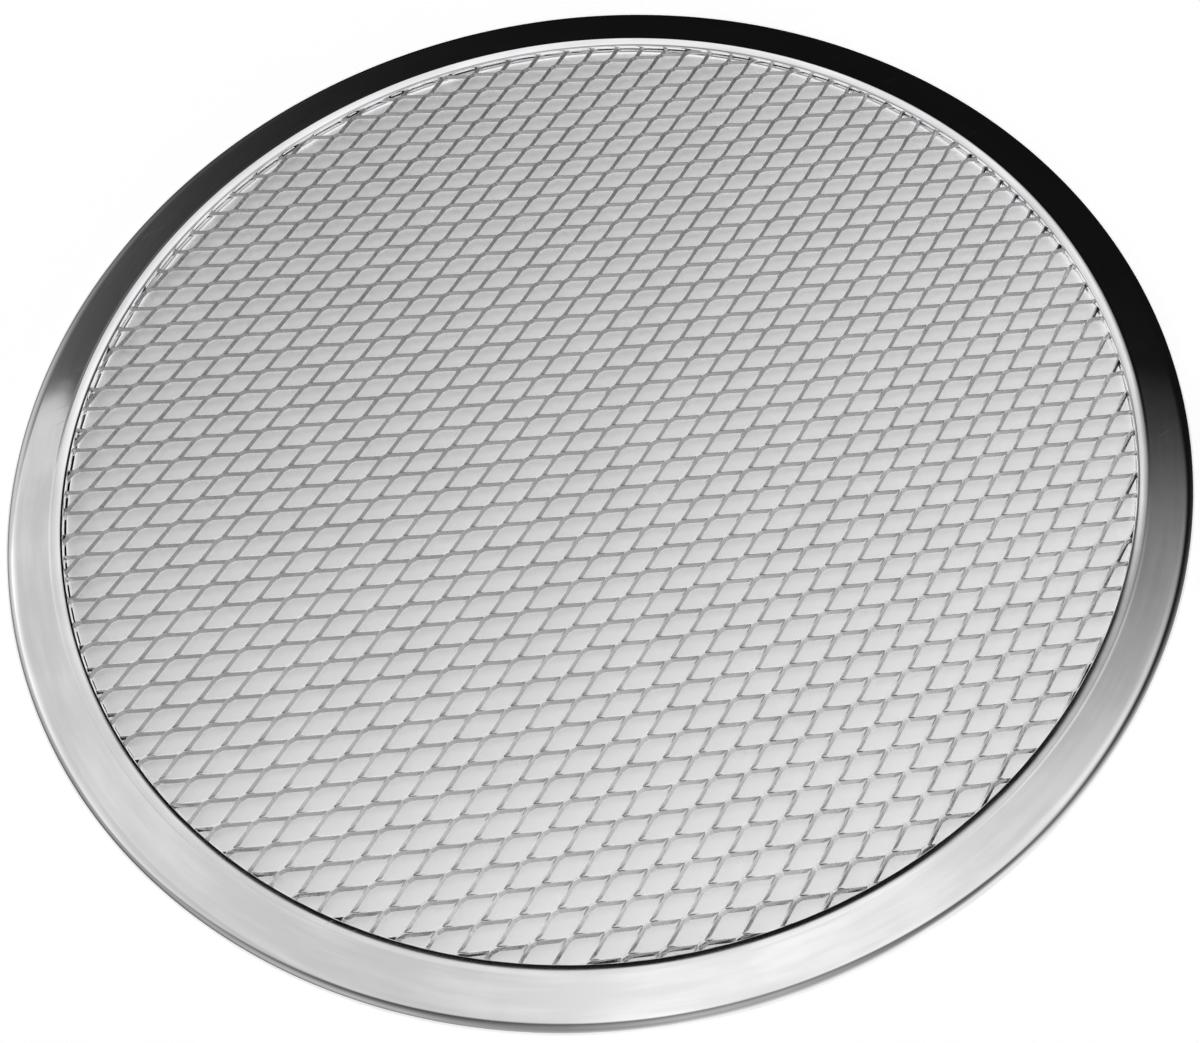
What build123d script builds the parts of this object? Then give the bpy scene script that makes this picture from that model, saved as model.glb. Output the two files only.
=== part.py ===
from build123d import *
from build123d.topology import SkipClean
import math
import os

# A pizza screen: a disc of raised expanded aluminium mesh whose cut edge is clamped all round
# in a one-piece folded rim. The screen lies flat and both faces are alike.
# Frame: +Z up, origin at the centre of the face it rests on, X along the long way of the mesh.

# Rim, millimetres
RIM_OUTER_DIAMETER = 254.0
RIM_WIDTH = 12.2          # flat band, from the outer fold to the inner edge
RIM_HEIGHT = 3.8          # over both flanges
RIM_WALL = 0.8            # aluminium strip that the rim is folded from
LIP_WIDTH = 2.1           # sloped band that brings each flange down onto the mesh
LIP_ROUND = 1.5           # bend radius where the flange turns into the lip, on its outside
EDGE_ROUND = 0.5          # rounded corner of the strip's inner edge
FOLD_REACH = 3.0          # how far in from the outer edge the fold's flattened curve begins

# Expanded mesh, millimetres
MESH_THICKNESS = 1.6      # over the raised strands
LONG_WAY = 12.45          # from bond to bond along X
SHORT_WAY = 5.75          # from bond to bond along Y
BOND_LENGTH = 2.8         # solid length between two openings of one row
BOND_HEIGHT = 1.5         # solid height between two openings of one column
STRAND_WIDTH = 0.75       # across a strand, seen from above
FOLD_CLEARANCE = 1.5      # from the mesh's cut edge to the inside of the rim's fold
MESH_SHIFT_X = -4.39      # the sheet is cut out anywhere, so no opening sits at the centre
MESH_SHIFT_Y = -0.34

# Worked out from the sizes above
RIM_OUTER_RADIUS = RIM_OUTER_DIAMETER / 2
RIM_INNER_RADIUS = RIM_OUTER_RADIUS - RIM_WIDTH
HALF_HEIGHT = RIM_HEIGHT / 2
MESH_RADIUS = RIM_OUTER_RADIUS - RIM_WALL - FOLD_CLEARANCE
OPENING_HALF_LENGTH = (LONG_WAY - BOND_LENGTH) / 2
OPENING_HALF_HEIGHT = (SHORT_WAY - BOND_HEIGHT) / 2
LANE_WIDTH = LONG_WAY * SHORT_WAY / math.hypot(LONG_WAY, SHORT_WAY)


def rim_section():
    """The folded strip's section, radius along X and height from the mesh's middle along Y."""
    lip_foot = (RIM_INNER_RADIUS, MESH_THICKNESS / 2)
    lip_edge = (RIM_INNER_RADIUS, MESH_THICKNESS / 2 + RIM_WALL)
    lip_start = RIM_INNER_RADIUS + LIP_WIDTH
    fold_start = RIM_OUTER_RADIUS - FOLD_REACH
    inner_height = HALF_HEIGHT - RIM_WALL
    outside = FilletPolyline(
        lip_foot,
        lip_edge,
        (lip_start, HALF_HEIGHT),
        (fold_start, HALF_HEIGHT),
        radius=[EDGE_ROUND, LIP_ROUND],
    )
    inside = FilletPolyline(
        lip_foot,
        (lip_start, inner_height),
        (fold_start, inner_height),
        radius=LIP_ROUND - RIM_WALL,
    )
    folds = [
        EllipticalCenterArc((fold_start, 0), reach, height, start_angle=-90, arc_size=180)
        for height, reach in (
            (HALF_HEIGHT, FOLD_REACH),
            (inner_height, FOLD_REACH - RIM_WALL),
        )
    ]
    strips = [outside, inside]
    mirrored = [mirror(strip, about=Plane.XZ) for strip in strips]
    return make_face(Curve() + strips + mirrored + folds)


def make_rim():
    """The section turned once round the screen's axis."""
    section = Plane.XZ * rim_section()
    return Pos(0, 0, HALF_HEIGHT) * revolve(section, axis=Axis.Z)


def opening_slope():
    """The angle from X of an opening's slanted sides that leaves a strand of STRAND_WIDTH."""
    along = LONG_WAY / 2 - BOND_LENGTH
    across = SHORT_WAY / 2
    return math.acos(STRAND_WIDTH / math.hypot(along, across)) - math.atan2(along, across)


def lattice_point(lane, row):
    """A place on the mesh. Lanes run along one family of strands, and rows along X.
    Openings are centred on whole lanes and rows, and bonds half a lane further."""
    x = MESH_SHIFT_X + LONG_WAY * (lane + row / 2)
    y = MESH_SHIFT_Y + SHORT_WAY * row / 2
    return x, y


def opening(x, y):
    """One opening: a hexagon, pointed at its bonds and flat above and below."""
    flat = OPENING_HALF_LENGTH - OPENING_HALF_HEIGHT / math.tan(opening_slope())
    corners = [
        (OPENING_HALF_LENGTH, 0),
        (flat, OPENING_HALF_HEIGHT),
        (-flat, OPENING_HALF_HEIGHT),
        (-OPENING_HALF_LENGTH, 0),
        (-flat, -OPENING_HALF_HEIGHT),
        (flat, -OPENING_HALF_HEIGHT),
    ]
    return Face(Wire.make_polygon([(x + u, y + v) for u, v in corners], close=True))


def lane_faces(blank, lane, last_row):
    """One lane of the sheet with its openings. Its straight sides run within the strands.
    Lane by lane, no face of the sheet carries more than a few dozen openings."""
    corners = [
        lattice_point(lane + side, row)
        for side, row in (
            (-1 / 2, -last_row),
            (-1 / 2, last_row),
            (1 / 2, last_row),
            (1 / 2, -last_row),
        )
    ]
    strip = blank.intersect(Face(Wire.make_polygon(corners, close=True)))
    if not strip:
        return []
    centres = [lattice_point(lane, row) for row in range(-last_row, last_row + 1)]
    touching = [c for c in centres if math.hypot(*c) < MESH_RADIUS + OPENING_HALF_LENGTH]
    return strip.faces()[0].cut(*[opening(x, y) for x, y in touching]).faces()


def make_mesh_disc():
    """The sheet, cut out as a disc, so openings at its edge are left as notches."""
    blank = Face(Wire.make_circle(MESH_RADIUS))
    last_lane = math.ceil(MESH_RADIUS / LANE_WIDTH) + 1
    last_row = 2 * math.ceil(MESH_RADIUS / SHORT_WAY) + 2
    lanes = range(-last_lane, last_lane + 1)
    faces = [face for lane in lanes for face in lane_faces(blank, lane, last_row)]
    pieces = [Solid.extrude(face, Vector(0, 0, MESH_THICKNESS)) for face in faces]
    with SkipClean():
        sheet = pieces[0].fuse(*pieces[1:])
    disc = max(sheet.solids(), key=lambda solid: solid.volume)
    return Pos(0, 0, HALF_HEIGHT - MESH_THICKNESS / 2) * disc


def main():
    os.makedirs("parts", exist_ok=True)
    export_step(make_rim(), "parts/rim.step")
    export_step(make_mesh_disc(), "parts/mesh_disc.step", write_pcurves=False)


main()
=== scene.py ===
import math

import bpy
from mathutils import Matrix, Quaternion, Vector


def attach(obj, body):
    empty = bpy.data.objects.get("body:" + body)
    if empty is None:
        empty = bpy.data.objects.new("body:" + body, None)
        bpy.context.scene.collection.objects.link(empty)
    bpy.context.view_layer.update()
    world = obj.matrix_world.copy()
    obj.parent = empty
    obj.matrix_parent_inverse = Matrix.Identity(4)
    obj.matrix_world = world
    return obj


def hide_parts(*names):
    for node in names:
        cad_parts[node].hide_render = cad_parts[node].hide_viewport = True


# A pizza screen: a raised expanded aluminium mesh in a folded aluminium rim.
# Metres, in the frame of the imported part. Sizes below are in millimetres times MM.
MM = 0.001

# Rim, as in the part
RIM_OUTER_RADIUS = 127.0 * MM
RIM_WIDTH = 12.2 * MM
RIM_HEIGHT = 3.8 * MM
RIM_WALL = 0.8 * MM
LIP_WIDTH = 2.1 * MM
LIP_ROUND = 1.5 * MM
EDGE_ROUND = 0.5 * MM
FOLD_REACH = 3.0 * MM
RIM_INNER_RADIUS = RIM_OUTER_RADIUS - RIM_WIDTH
MID_HEIGHT = RIM_HEIGHT / 2

# Finer details of the rim
LIP_FOOT = 0.5 * MM       # from the mesh's middle to the lip that is pressed into it
RIDGE_HEIGHT = 0.05 * MM  # of the faint ridge where the flange turns down into the lip
RIDGE_WIDTH = 0.6 * MM
RIDGE_STEPS = 6
FOLD_STEPS = 16
CORNER_STEPS = 4
RIM_SEGMENTS = 720

# Mesh lattice, as in the part
MESH_THICKNESS = 1.6 * MM
MESH_RADIUS = 124.7 * MM
LONG_WAY = 12.45 * MM
SHORT_WAY = 5.75 * MM
MESH_SHIFT_X = -4.39 * MM
MESH_SHIFT_Y = -0.34 * MM

# Uneven stretch of the sheet: how far each place moves along X and along Y, in millimetres.
# With u and v as the place's X and Y over BOW_REACH, the five values of a row multiply
# u, v, u squared, u times v, and v squared.
BOW_REACH = 100.0 * MM
BOW_ALONG = (0.05, -0.96, -1.75, -0.23, 0.69)
BOW_ACROSS = (-0.40, 0.25, 1.18, -2.05, 1.22)

# Raised strands
STRAND_WIDTH = 0.62 * MM
STRAND_THICKNESS = 1.00 * MM
STRAND_TILT = math.radians(-46)
STRAND_BEVEL = 0.07 * MM
BOND_FLAT = 0.65 * MM     # from a bond's middle to where the strand leaves it
BEND_SOFTNESS = 0.05      # how much of a strand's climb is eased, and not straight
SLOPE_STEPS = 6
SPARE_PERIODS = 2         # past the disc's edge, so that the bowed sheet fills it
SPARE_ROWS = 1

# Camera, fitted to the photo
CAMERA_PLACE = Vector((-65.36, -174.58, 283.51)) * MM
CAMERA_AIM = Vector((14.70, -36.96, 1.9)) * MM
CAMERA_ROLL = math.radians(-3.10)
CAMERA_LENS = 46.376
CAMERA_SENSOR = 36.0
CAMERA_SHIFT_X = -0.125

# Metal surfaces: greys, roughness, depths of bumps, and noise cells in each metre.
# A spread is the part of a noise's range over which it fades from one look to the other.
NOISE_DETAIL = 3.0
RIM_CLEAN_COLOUR = (0.90, 0.90, 0.91, 1)
RIM_DULL_COLOUR = (0.78, 0.78, 0.79, 1)
RIM_MOTTLE_SPREAD = (0.75, 1.25)
RIM_ROUGHNESS_LEAST = 0.06
RIM_ROUGHNESS_MOST = 0.10
RIM_CLOUD_SCALE = 45
RIM_CLOUD_SPREAD = (0.25, 0.75)
RIM_WAVE_DEPTH = 0.03 * MM
RIM_STREAK_STRETCH = (5, 5, 420)
RIM_LINE_STRETCH = (9, 9, 2600)
RIM_LINE_DEPTH = 0.0006 * MM
RIM_SCRATCH_STRETCH = (90, 2200, 90)
RIM_SCRATCH_DETAIL = 2.0
RIM_SCRATCH_SPREAD = (0.70, 0.76)
RIM_SCRATCH_ROUGHNESS = 0.08
MESH_CLEAN_COLOUR = (0.82, 0.82, 0.83, 1)
MESH_DULL_COLOUR = (0.72, 0.72, 0.73, 1)
MESH_ROUGHNESS_LEAST = 0.22
MESH_ROUGHNESS_MOST = 0.34
MESH_CLOUD_SCALE = 160
MESH_MARK_STRETCH = (1500, 300, 300)
MESH_MARK_DEPTH = 0.0004 * MM
MESH_SPREAD = (0.30, 0.70)

# Softbox, by where a ray meets a plane one unit overhead: side is to the camera's right and out
# is away from it, both turned by BOX_TURN. A row is a smooth step: its start and end, then the
# value before and after it. The rows of one table add up, and run over side.
BOX_TURN = math.radians(-31)
LEAST_RISE = 0.001        # of a ray, so that a level one still meets the plane
BOX_FAR_WAVES = (
    (-0.62, -0.49, 0.13, 0.0),
    (-0.49, -0.38, -0.085, 0.0),
)
BOX_FADE_STARTS = ((-0.15, 0.25, 0.67, 0.10), *BOX_FAR_WAVES)
BOX_FADE_ENDS = ((-0.15, 0.25, 0.715, 0.72), *BOX_FAR_WAVES)
BOX_LEVELS = (
    (-0.28, -0.02, 0.70, 1.05),
    (-0.58, -0.50, -0.16, 0.0),
    (-0.44, -0.32, 0.05, 0.0),
    (-0.02, 0.12, 0.0, -0.13),
)
BOX_NEAR_EDGE = (-0.45, -0.25, 0.0, 1.0)
BOX_LEFT_EDGE = (-1.8, -1.3, 0.0, 1.0)
BOX_RIGHT_EDGE = (0.5, 1.1, 1.0, 0.0)

# Pale walls seen low round the studio: azimuth and elevation in degrees, and brightness
ROOM_LEVEL = 0.006
GLOW_POWER = 16
GLOWS = (
    (-42, 2, 0.50),
    (-56, 26, 0.18),
    (-74, 8, 0.95),
    (-106, 6, 0.65),
    (-132, 6, 0.35),
    (-110, 48, 0.50),
    (124, 26, 0.75),
    (160, 26, 0.30),
    (-164, 26, 0.55),
)

# Floor: lift is light that it adds for the camera, and mirrored lift for the metal's reflections.
# Within a circle under the screen the camera's lift is lower and falls along Y: a painted shadow,
# darker towards +Y.
FLOOR_SIZE = 6.0
FLOOR_DROP = 0.1 * MM
FLOOR_COLOUR = (0.95, 0.95, 0.95, 1)
FLOOR_ROUGHNESS = 0.9
WHITE = (1, 1, 1, 1)
FLOOR_LIFT = 0.57
FLOOR_MIRRORED_LIFT = 0.60
FLOOR_PAINTED_SHADOW_RADIUS = 118.0 * MM
FLOOR_PAINTED_SHADOW_EDGE = 3.0 * MM
FLOOR_PAINTED_SHADOW_MIDDLE = 0.175
FLOOR_PAINTED_SHADOW_SLOPE = 1.0   # how fast that lift falls with each metre along Y
BACKDROP_LEVEL = 1.0


def mesh_object(name, points, faces, smooth=True):
    """A new mesh object from points and faces."""
    data = bpy.data.meshes.new(name)
    data.from_pydata(points, [], faces)
    data.update()
    if smooth:
        data.shade_smooth()
    made = bpy.data.objects.new(name, data)
    bpy.context.scene.collection.objects.link(made)
    return made


# Rim
def rounded_corner(before, corner, after, radius):
    """Points of the arc that rounds one corner of a section."""
    corner = Vector(corner)
    to_before = (Vector(before) - corner).normalized()
    to_after = (Vector(after) - corner).normalized()
    half = to_before.angle(to_after) / 2
    centre = corner + (to_before + to_after).normalized() * (radius / math.sin(half))
    start = corner + to_before * (radius / math.tan(half)) - centre
    end = corner + to_after * (radius / math.tan(half)) - centre
    turn = start.angle(end)
    points = []
    for step in range(CORNER_STEPS + 1):
        share = step / CORNER_STEPS
        near = math.sin((1 - share) * turn) / math.sin(turn)
        far = math.sin(share * turn) / math.sin(turn)
        points.append(centre + start * near + end * far)
    return points


def fold_arc(reach, height):
    """Points of the outer fold's flattened curve, from the upper flange to the lower one."""
    middle = RIM_OUTER_RADIUS - FOLD_REACH
    turns = [math.pi / 2 - math.pi * step / FOLD_STEPS for step in range(FOLD_STEPS + 1)]
    return [Vector((middle + reach * math.cos(t), height * math.sin(t))) for t in turns]


def ridge_slope(start):
    """Points of the ridge's gentle side, from its crest down onto the flange."""
    points = []
    for step in range(1, RIDGE_STEPS + 1):
        share = step / RIDGE_STEPS
        drop = RIDGE_HEIGHT * (1 - math.cos(math.pi * share)) / 2
        points.append(Vector((start.x + RIDGE_WIDTH * share, start.y - drop)))
    return points


def rim_section():
    """The folded strip's closed outline: radius, and height from the mesh's middle."""
    foot = (RIM_INNER_RADIUS, LIP_FOOT)
    edge = (RIM_INNER_RADIUS, MESH_THICKNESS / 2 + RIM_WALL)
    crest = (RIM_INNER_RADIUS + LIP_WIDTH, MID_HEIGHT)
    under = MID_HEIGHT - RIM_WALL
    bend = (RIM_INNER_RADIUS + LIP_WIDTH, under)
    fold_start = RIM_OUTER_RADIUS - FOLD_REACH
    upper_out = [Vector(foot)]
    upper_out += rounded_corner(foot, edge, crest, EDGE_ROUND)
    upper_out += rounded_corner(edge, crest, (fold_start, MID_HEIGHT), LIP_ROUND)
    upper_out += ridge_slope(upper_out[-1])
    upper_in = rounded_corner(foot, bend, (fold_start, under), LIP_ROUND - RIM_WALL)
    outside = upper_out + fold_arc(FOLD_REACH, MID_HEIGHT - RIDGE_HEIGHT)
    outside += [Vector((p.x, -p.y)) for p in reversed(upper_out)]
    inside = [Vector((p.x, -p.y)) for p in upper_in]
    inside += list(reversed(fold_arc(FOLD_REACH - RIM_WALL, under)))
    inside += list(reversed(upper_in))
    return outside + inside


def make_rim():
    """The section turned round the axis in fine steps."""
    section = rim_section()
    count = len(section)
    points = []
    faces = []
    for turn in range(RIM_SEGMENTS):
        angle = 2 * math.pi * turn / RIM_SEGMENTS
        along, across = math.cos(angle), math.sin(angle)
        points += [(p.x * along, p.x * across, MID_HEIGHT + p.y) for p in section]
        here, there = turn * count, (turn + 1) % RIM_SEGMENTS * count
        for i in range(count):
            j = (i + 1) % count
            faces.append((here + i, here + j, there + j, there + i))
    return mesh_object("rim_folded", points, faces)


# Mesh
def strand_section():
    """A strand's section across the long way: a tilted bar with its edges rubbed off."""
    half_width, half_thickness = STRAND_WIDTH / 2, STRAND_THICKNESS / 2
    width_way = Vector((math.cos(STRAND_TILT), math.sin(STRAND_TILT)))
    thickness_way = Vector((-math.sin(STRAND_TILT), math.cos(STRAND_TILT)))
    inner_width, inner_thickness = half_width - STRAND_BEVEL, half_thickness - STRAND_BEVEL
    corners = [
        (half_width, -inner_thickness),
        (half_width, inner_thickness),
        (inner_width, half_thickness),
        (-inner_width, half_thickness),
        (-half_width, inner_thickness),
        (-half_width, -inner_thickness),
        (-inner_width, -half_thickness),
        (inner_width, -half_thickness),
    ]
    return [width_way * u + thickness_way * v for u, v in corners]


def strand_shares():
    """Stations over one long way of a strand: place along it, and share of the climb.
    A share of 0 is on the bond below, and 1 on the bond above."""
    run = LONG_WAY / 2 - 2 * BOND_FLAT
    climb = []
    for step in range(SLOPE_STEPS + 1):
        t = step / SLOPE_STEPS
        eased = t * t * (3 - 2 * t)
        climb.append((BOND_FLAT + run * t, t + BEND_SOFTNESS * (eased - t)))
    fall = [(LONG_WAY - x, share) for x, share in reversed(climb)]
    return [(0.0, 0.0)] + climb + [(LONG_WAY / 2, 1.0)] + fall


def bowed(x, y):
    """Where a place on the even lattice comes to in the unevenly stretched sheet."""
    u, v = x / BOW_REACH, y / BOW_REACH
    terms = (u, v, u * u, u * v, v * v)
    along = sum(factor * term for factor, term in zip(BOW_ALONG, terms))
    across = sum(factor * term for factor, term in zip(BOW_ACROSS, terms))
    return x + along * MM, y + across * MM


def strand_path(row):
    """The middle line of one strand over the whole disc, as it swings between two rows of bonds."""
    climb = SHORT_WAY / 2 - STRAND_WIDTH * math.cos(STRAND_TILT)
    drop = STRAND_WIDTH * math.sin(STRAND_TILT)
    middle_y = MESH_SHIFT_Y + SHORT_WAY * (row + 1 / 2) / 2
    start_x = MESH_SHIFT_X + LONG_WAY * (1 / 2 + (row % 2) / 2)
    periods = math.ceil(MESH_RADIUS / LONG_WAY) + SPARE_PERIODS
    path = []
    for period in range(-periods, periods):
        for along, share in strand_shares():
            x = start_x + period * LONG_WAY + along
            y = middle_y + climb * (share - 1 / 2)
            x, y = bowed(x, y)
            if math.hypot(x, y) < MESH_RADIUS - STRAND_WIDTH:
                path.append(Vector((x, y, drop * (1 / 2 - share))))
    return path


def make_mesh():
    """Every strand swept along its path with the same section, and closed at both ends."""
    section = strand_section()
    count = len(section)
    rows = math.ceil(2 * MESH_RADIUS / SHORT_WAY) + SPARE_ROWS
    points = []
    faces = []
    for row in range(-rows, rows):
        path = strand_path(row)
        if len(path) < 2:
            continue
        base = len(points)
        for place in path:
            points += [(place.x, place.y + s.x, MID_HEIGHT + place.z + s.y) for s in section]
        for station in range(len(path) - 1):
            here = base + station * count
            for i in range(count):
                j = (i + 1) % count
                faces.append((here + i, here + j, here + count + j, here + count + i))
        last = base + (len(path) - 1) * count
        faces.append(tuple(base + i for i in reversed(range(count))))
        faces.append(tuple(last + i for i in range(count)))
    return mesh_object("mesh_strands", points, faces, smooth=False)


# Nodes
def set_input(tree, socket, value):
    """Links an input to another node's output, or sets it to a plain value."""
    if isinstance(value, bpy.types.NodeSocket):
        tree.links.new(value, socket)
    else:
        socket.default_value = value


def math_of(tree, operation, first, second):
    """What a Math node makes of two numbers."""
    node = tree.nodes.new("ShaderNodeMath")
    node.operation = operation
    set_input(tree, node.inputs[0], first)
    set_input(tree, node.inputs[1], second)
    return node.outputs[0]


def vector_math_of(tree, operation, *values):
    """What a Vector Math node makes of vectors: a number for a length or a dot product."""
    node = tree.nodes.new("ShaderNodeVectorMath")
    node.operation = operation
    for socket, value in zip(node.inputs, values):
        set_input(tree, socket, value)
    is_number = operation in ("LENGTH", "DOT_PRODUCT")
    return node.outputs["Value" if is_number else "Vector"]


def parts_of(tree, vector):
    """A vector's X, Y and Z."""
    node = tree.nodes.new("ShaderNodeSeparateXYZ")
    tree.links.new(vector, node.inputs["Vector"])
    return [node.outputs[name] for name in ("X", "Y", "Z")]


def blend(tree, kind, share, first, second):
    """From the first value to the second by a share: FLOAT for numbers, RGBA for colours."""
    node = tree.nodes.new("ShaderNodeMix")
    node.data_type = kind
    for name, given in (("Factor", share), ("A", first), ("B", second)):
        set_input(tree, node.inputs[name], given)
    return node.outputs["Result"]


def fade(tree, value, start, end, low, high):
    """Smooth step of a value, from low at start to high at end."""
    node = tree.nodes.new("ShaderNodeMapRange")
    node.interpolation_type = "SMOOTHSTEP"
    for name, given in (
        ("Value", value),
        ("From Min", start),
        ("From Max", end),
        ("To Min", low),
        ("To Max", high),
    ):
        set_input(tree, node.inputs[name], given)
    return node.outputs["Result"]


def summed_fades(tree, value, steps):
    """Several smooth steps of one value, added up."""
    total = fade(tree, value, *steps[0])
    for step in steps[1:]:
        total = math_of(tree, "ADD", total, fade(tree, value, *step))
    return total


# Materials
def new_material(name):
    """A material with its nodes and its shader."""
    made = bpy.data.materials.new(name)
    made.use_nodes = True
    tree = made.node_tree
    return made, tree, tree.nodes["Principled BSDF"]


def noise(tree, place, scale=1.0, detail=NOISE_DETAIL):
    """Noise between 0 and 1 at a place."""
    node = tree.nodes.new("ShaderNodeTexNoise")
    node.inputs["Scale"].default_value = scale
    node.inputs["Detail"].default_value = detail
    tree.links.new(place, node.inputs["Vector"])
    return node.outputs["Fac"]


def stretched(tree, place, factors):
    """The place multiplied along each axis, so that noise made there is drawn out."""
    return vector_math_of(tree, "MULTIPLY", place, factors)


def spun_place(tree, place):
    """A place where noise runs round the axis in fine lines and has no seam: the direction from
    the axis in X and Y, and the distance from it plus the height in Z."""
    flat = stretched(tree, place, (1, 1, 0))
    way_x, way_y, _ = parts_of(tree, vector_math_of(tree, "NORMALIZE", flat))
    radius = vector_math_of(tree, "LENGTH", flat)
    height = parts_of(tree, place)[2]
    across = math_of(tree, "ADD", radius, height)
    joined = tree.nodes.new("ShaderNodeCombineXYZ")
    for name, output in (("X", way_x), ("Y", way_y), ("Z", across)):
        tree.links.new(output, joined.inputs[name])
    return joined.outputs["Vector"]


def bumped(tree, shader, *layers):
    """Bumps laid over each other on a shader, each of them a height and its depth."""
    normal = None
    for height, depth in layers:
        bump = tree.nodes.new("ShaderNodeBump")
        bump.inputs["Distance"].default_value = depth
        tree.links.new(height, bump.inputs["Height"])
        if normal:
            tree.links.new(normal, bump.inputs["Normal"])
        normal = bump.outputs["Normal"]
    tree.links.new(normal, shader.inputs["Normal"])


def rim_material():
    """Satin aluminium: fine marks round the rim, a cloudy sheen and a few faint scratches."""
    made, tree, shader = new_material("rim_aluminium")
    shader.inputs["Metallic"].default_value = 1.0
    place = tree.nodes.new("ShaderNodeTexCoord").outputs["Object"]
    spun = spun_place(tree, place)
    lines = noise(tree, stretched(tree, spun, RIM_LINE_STRETCH))
    streaks = noise(tree, stretched(tree, spun, RIM_STREAK_STRETCH))
    cloud = noise(tree, place, RIM_CLOUD_SCALE)
    scratch_place = stretched(tree, place, RIM_SCRATCH_STRETCH)
    scratches = noise(tree, scratch_place, detail=RIM_SCRATCH_DETAIL)
    mottle = math_of(tree, "ADD", streaks, cloud)
    tone = fade(tree, mottle, *RIM_MOTTLE_SPREAD, 0.0, 1.0)
    colour = blend(tree, "RGBA", tone, RIM_DULL_COLOUR, RIM_CLEAN_COLOUR)
    tree.links.new(colour, shader.inputs["Base Color"])
    sheen = fade(tree, cloud, *RIM_CLOUD_SPREAD, RIM_ROUGHNESS_MOST, RIM_ROUGHNESS_LEAST)
    worn = fade(tree, scratches, *RIM_SCRATCH_SPREAD, 0.0, RIM_SCRATCH_ROUGHNESS)
    tree.links.new(math_of(tree, "ADD", sheen, worn), shader.inputs["Roughness"])
    bumped(tree, shader, (cloud, RIM_WAVE_DEPTH), (lines, RIM_LINE_DEPTH))
    return made


def mesh_material():
    """Mill aluminium: uneven grey, with fine marks that the shearing left across the strands."""
    made, tree, shader = new_material("mesh_aluminium")
    shader.inputs["Metallic"].default_value = 1.0
    place = tree.nodes.new("ShaderNodeTexCoord").outputs["Object"]
    cloud = noise(tree, place, MESH_CLOUD_SCALE)
    marks = noise(tree, stretched(tree, place, MESH_MARK_STRETCH))
    tone = fade(tree, cloud, *MESH_SPREAD, 0.0, 1.0)
    colour = blend(tree, "RGBA", tone, MESH_DULL_COLOUR, MESH_CLEAN_COLOUR)
    tree.links.new(colour, shader.inputs["Base Color"])
    rough = fade(tree, marks, *MESH_SPREAD, MESH_ROUGHNESS_LEAST, MESH_ROUGHNESS_MOST)
    tree.links.new(rough, shader.inputs["Roughness"])
    bumped(tree, shader, (marks, MESH_MARK_DEPTH))
    return made


def floor_material():
    """White, with a lift towards the white of the backdrop that is lower under the screen: a
    painted shadow there, darker towards +Y.
    """
    made, tree, shader = new_material("floor_white")
    shader.inputs["Base Color"].default_value = FLOOR_COLOUR
    shader.inputs["Roughness"].default_value = FLOOR_ROUGHNESS
    shader.inputs["Specular IOR Level"].default_value = 0.0
    shader.inputs["Emission Color"].default_value = WHITE
    place = tree.nodes.new("ShaderNodeTexCoord").outputs["Object"]
    # Painted shadow under the screen: inside the circle the lift for the camera comes down to a
    # level that falls along Y, darker towards +Y.
    radius = vector_math_of(tree, "LENGTH", place)
    shade_end = FLOOR_PAINTED_SHADOW_RADIUS + FLOOR_PAINTED_SHADOW_EDGE
    outside_painted_shadow = fade(tree, radius, FLOOR_PAINTED_SHADOW_RADIUS, shade_end, 0.0, 1.0)
    slope = math_of(tree, "MULTIPLY", parts_of(tree, place)[1], -FLOOR_PAINTED_SHADOW_SLOPE)
    under = math_of(tree, "ADD", slope, FLOOR_PAINTED_SHADOW_MIDDLE)
    lift = blend(tree, "FLOAT", outside_painted_shadow, under, FLOOR_LIFT)
    path = tree.nodes.new("ShaderNodeLightPath")
    seen = math_of(tree, "MULTIPLY", path.outputs["Is Camera Ray"], lift)
    mirrored = math_of(tree, "MULTIPLY", path.outputs["Is Glossy Ray"], FLOOR_MIRRORED_LIFT)
    glow_level = math_of(tree, "ADD", seen, mirrored)
    tree.links.new(glow_level, shader.inputs["Emission Strength"])
    return made


# Studio
def make_floor():
    """A wide floor, a hair under the screen."""
    half = FLOOR_SIZE / 2
    corners = [(-half, -half, 0), (half, -half, 0), (half, half, 0), (-half, half, 0)]
    floor = mesh_object("floor", corners, [(0, 1, 2, 3)])
    floor.location.z = -FLOOR_DROP
    floor.data.materials.append(floor_material())


def overhead_spot(tree, way):
    """Where a ray's direction meets the plane overhead: its side and its out."""
    rise = math_of(tree, "MAXIMUM", parts_of(tree, way)[2], LEAST_RISE)
    along, across = math.cos(BOX_TURN), math.sin(BOX_TURN)
    spot = []
    for axis in ((along, across, 0), (-across, along, 0)):
        reach = vector_math_of(tree, "DOT_PRODUCT", way, axis)
        spot.append(math_of(tree, "DIVIDE", reach, rise))
    return spot


def softbox(tree, way):
    """One large softbox overhead and beyond the screen, seen by the direction of a ray. Its far
    edge is sharp on the left and fades out on the right."""
    side, out = overhead_spot(tree, way)
    start = summed_fades(tree, side, BOX_FADE_STARTS)
    end = summed_fades(tree, side, BOX_FADE_ENDS)
    level = summed_fades(tree, side, BOX_LEVELS)
    for share in (
        fade(tree, out, start, end, 1.0, 0.0),
        fade(tree, out, *BOX_NEAR_EDGE),
        fade(tree, side, *BOX_LEFT_EDGE),
        fade(tree, side, *BOX_RIGHT_EDGE),
    ):
        level = math_of(tree, "MULTIPLY", level, share)
    return level


def glow(tree, way, azimuth, elevation, level):
    """A soft round patch of light in one direction."""
    azimuth, elevation = math.radians(azimuth), math.radians(elevation)
    flat = math.cos(elevation)
    axis = (math.cos(azimuth) * flat, math.sin(azimuth) * flat, math.sin(elevation))
    front = math_of(tree, "MAXIMUM", vector_math_of(tree, "DOT_PRODUCT", way, axis), 0.0)
    return math_of(tree, "MULTIPLY", math_of(tree, "POWER", front, GLOW_POWER), level)


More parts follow.
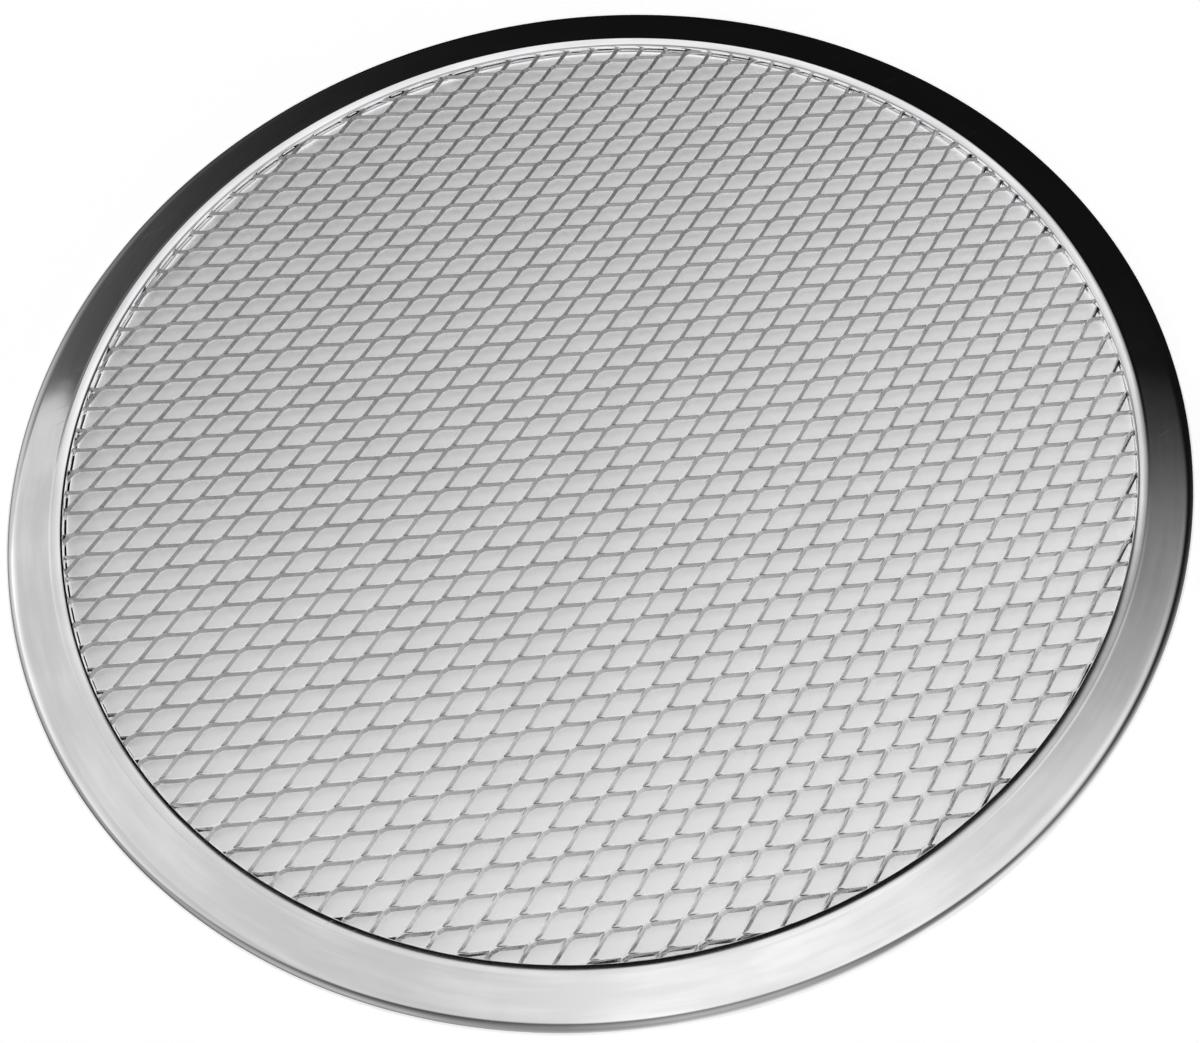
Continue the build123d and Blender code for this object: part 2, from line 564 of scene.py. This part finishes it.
def make_world():
    """A studio with a softbox and pale walls, and a white backdrop for the camera."""
    world = bpy.data.worlds.new("studio")
    bpy.context.scene.world = world
    world.use_nodes = True
    tree = world.node_tree
    background = tree.nodes["Background"]
    background.inputs["Color"].default_value = WHITE
    way = tree.nodes.new("ShaderNodeTexCoord").outputs["Generated"]
    studio = math_of(tree, "ADD", softbox(tree, way), ROOM_LEVEL)
    for azimuth, elevation, level in GLOWS:
        studio = math_of(tree, "ADD", studio, glow(tree, way, azimuth, elevation, level))
    path = tree.nodes.new("ShaderNodeLightPath")
    strength = blend(tree, "FLOAT", path.outputs["Is Camera Ray"], studio, BACKDROP_LEVEL)
    tree.links.new(strength, background.inputs["Strength"])


def make_camera():
    """The camera that sees the screen as the photo does."""
    data = bpy.data.cameras.new("camera")
    data.lens = CAMERA_LENS
    data.sensor_width = CAMERA_SENSOR
    data.shift_x = CAMERA_SHIFT_X
    camera = bpy.data.objects.new("camera", data)
    bpy.context.scene.collection.objects.link(camera)
    camera.location = CAMERA_PLACE
    camera.rotation_mode = "QUATERNION"
    aim = (CAMERA_AIM - CAMERA_PLACE).to_track_quat("-Z", "Y")
    camera.rotation_quaternion = aim @ Quaternion((0, 0, 1), CAMERA_ROLL)
    bpy.context.scene.camera = camera


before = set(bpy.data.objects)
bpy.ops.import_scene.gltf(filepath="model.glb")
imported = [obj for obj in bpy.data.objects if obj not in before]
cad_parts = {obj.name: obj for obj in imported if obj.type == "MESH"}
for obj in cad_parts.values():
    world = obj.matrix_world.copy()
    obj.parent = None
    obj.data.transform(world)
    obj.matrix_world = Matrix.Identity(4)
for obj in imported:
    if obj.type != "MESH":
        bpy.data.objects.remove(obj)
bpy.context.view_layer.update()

rim = make_rim()
rim.data.materials.append(rim_material())
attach(rim, "root")
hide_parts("rim")

mesh = make_mesh()
mesh.data.materials.append(mesh_material())
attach(mesh, "root")
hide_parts("mesh_disc")

make_floor()
make_world()
make_camera()
bpy.context.scene.view_settings.view_transform = "Standard"
